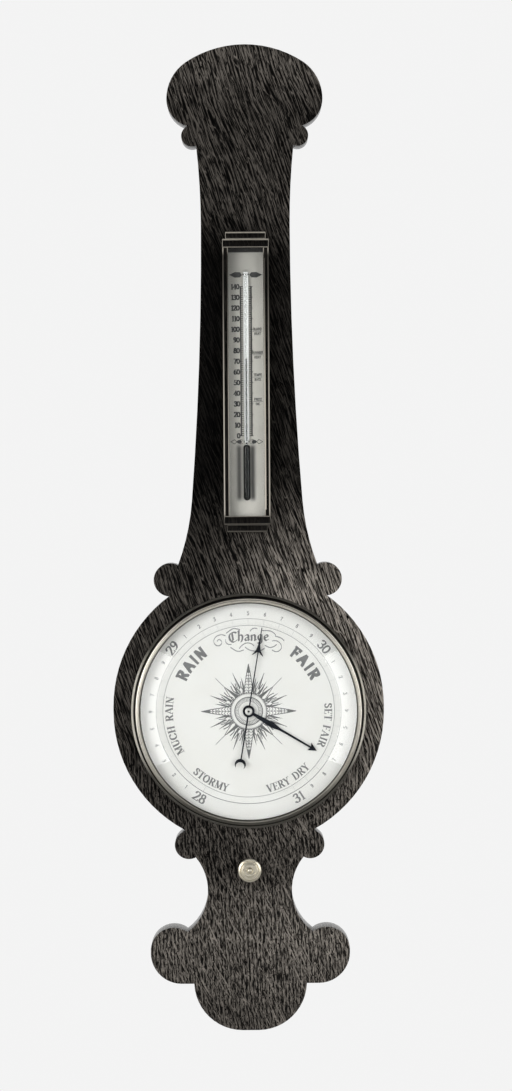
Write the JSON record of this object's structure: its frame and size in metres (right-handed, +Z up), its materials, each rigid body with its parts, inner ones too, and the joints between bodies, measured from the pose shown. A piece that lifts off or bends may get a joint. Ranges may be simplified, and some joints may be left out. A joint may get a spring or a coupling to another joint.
{
  "type": "barometer",
  "caption": "Wall-hung banjo barometer: shaped oak case, glazed brass-rimmed dial, aneroid movement, set hand worked by a knob, and a boxed thermometer on the trunk.",
  "frame": {"origin": "middle of the hanging hole, in the plane of the case's back", "axes": "X to the right seen from the front, Y into the wall, Z up; the dial faces -Y"},
  "size_m": [0.2332, 0.048, 0.8502],
  "materials": {
    "oak": "dark stained oak, waxed, satin",
    "box_wood": "ebonised, satin",
    "bezel_brass": "polished and lacquered",
    "brass": "satin",
    "japanned": "black japan, satin",
    "dial_white": "matt white enamel paint with printed scales",
    "blued_steel": "blued",
    "steel": "bright turned",
    "spring_steel": "tempered",
    "bridge_iron": "black stoved",
    "capsule_metal": "nickel silver, soldered rim",
    "collet_silver": "polished",
    "clear_glass": "clear, ground bevel",
    "scale_ivory": "ivorine sheet, printed",
    "mercury": "liquid metal"
  },
  "bodies": {
    "case": {"case_board": "oak", "back_cover": "japanned", "back_cover_screws": "brass", "rod_cover": "oak", "rod_cover_screws": "brass", "hanging_plate": "brass", "hanging_plate_screws": "brass", "bezel": "bezel_brass", "bezel_glass": "clear_glass", "glass_ring": "bezel_brass", "dial_plate": "dial_white", "dial_pillars": "brass", "pillar_screws": "steel", "movement_plate": "brass", "movement_plate_screws": "steel", "capsule": "capsule_metal", "capsule_stud": "steel", "spring_bridge": "bridge_iron", "main_spring": "spring_steel", "spring_clamp": "bridge_iron", "spring_clamp_screws": "steel", "rocker_bracket": "brass", "chain": "steel", "hairspring": "blued_steel", "hairspring_stud": "steel", "arbor_cock": "brass", "cock_screw": "steel", "rod_bracket_upper": "brass", "rod_bracket_lower": "brass", "rod_bracket_screws": "steel", "knob_bush": "bezel_brass", "thermometer_backboard": "box_wood", "thermometer_side_rails": "box_wood", "thermometer_top_cap": "box_wood", "thermometer_bottom_cap": "box_wood", "thermometer_scale": "scale_ivory", "thermometer_tube": "clear_glass", "mercury": "mercury", "tube_ties": "brass", "thermometer_glass": "clear_glass", "thermometer_box_screws": "steel"},
    "indicator": {"arbor": "steel", "indicator_hand": "blued_steel", "indicator_collet": "collet_silver"},
    "rocker": {"rocking_shaft": "steel"},
    "lever": {"main_lever": "brass", "lever_screws": "steel", "capsule_post": "brass", "connecting_link": "steel"},
    "set_knob": {"knob": "bezel_brass", "knob_shaft": "steel", "knob_crown_wheel": "brass"},
    "rod": {"set_rod": "steel", "rod_pinions": "brass"},
    "set_pointer": {"set_hand": "blued_steel", "set_hand_pipe": "brass", "set_hand_crown_wheel": "brass"},
    "adjuster": {"adjusting_screw": "brass"}
  },
  "joints": [
    {"name": "indicator_turn", "type": "hinge", "parent": "case", "child": "indicator", "pos_m": [0, -0.0355, -0.538], "axis": [0, 1, 0], "range_deg": [-159.4, 140.6], "stiffness_Nm_per_rad": 0.002, "deforming": ["hairspring", "chain"]},
    {"name": "rocker_turn", "type": "hinge", "parent": "case", "child": "rocker", "pos_m": [0.031, -0.0138, -0.538], "axis": [0, 0, 1], "range_deg": [-21.63, 24.52]},
    {"name": "lever_rock", "type": "hinge", "parent": "case", "child": "lever", "pos_m": [0, -0.023, -0.4795], "axis": [1, 0, 0], "range_deg": [-1.69, 1.49], "deforming": ["capsule", "main_spring"]},
    {"name": "knob_turn", "type": "hinge", "parent": "case", "child": "set_knob", "pos_m": [0, -0.032, -0.6745], "axis": [0, 1, 0], "continuous": true},
    {"name": "rod_turn", "type": "hinge", "parent": "case", "child": "rod", "pos_m": [0, -0.0235, -0.6], "axis": [0, 0, 1], "continuous": true},
    {"name": "set_pointer_turn", "type": "hinge", "parent": "case", "child": "set_pointer", "pos_m": [0, -0.0366, -0.538], "axis": [0, 1, 0], "continuous": true},
    {"name": "adjuster_turn", "type": "hinge", "parent": "case", "child": "adjuster", "pos_m": [0, -0.0065, -0.4747], "axis": [0, 1, 0], "range_deg": [-360, 360]}
  ],
  "couplings": [
    {"joint": "rocker_turn", "follows": "indicator_turn", "ratio": -0.15385},
    {"joint": "lever_rock", "follows": "indicator_turn", "ratio": 0.01061},
    {"joint": "rod_turn", "follows": "knob_turn", "ratio": -4},
    {"joint": "set_pointer_turn", "follows": "knob_turn", "ratio": 1}
  ]
}
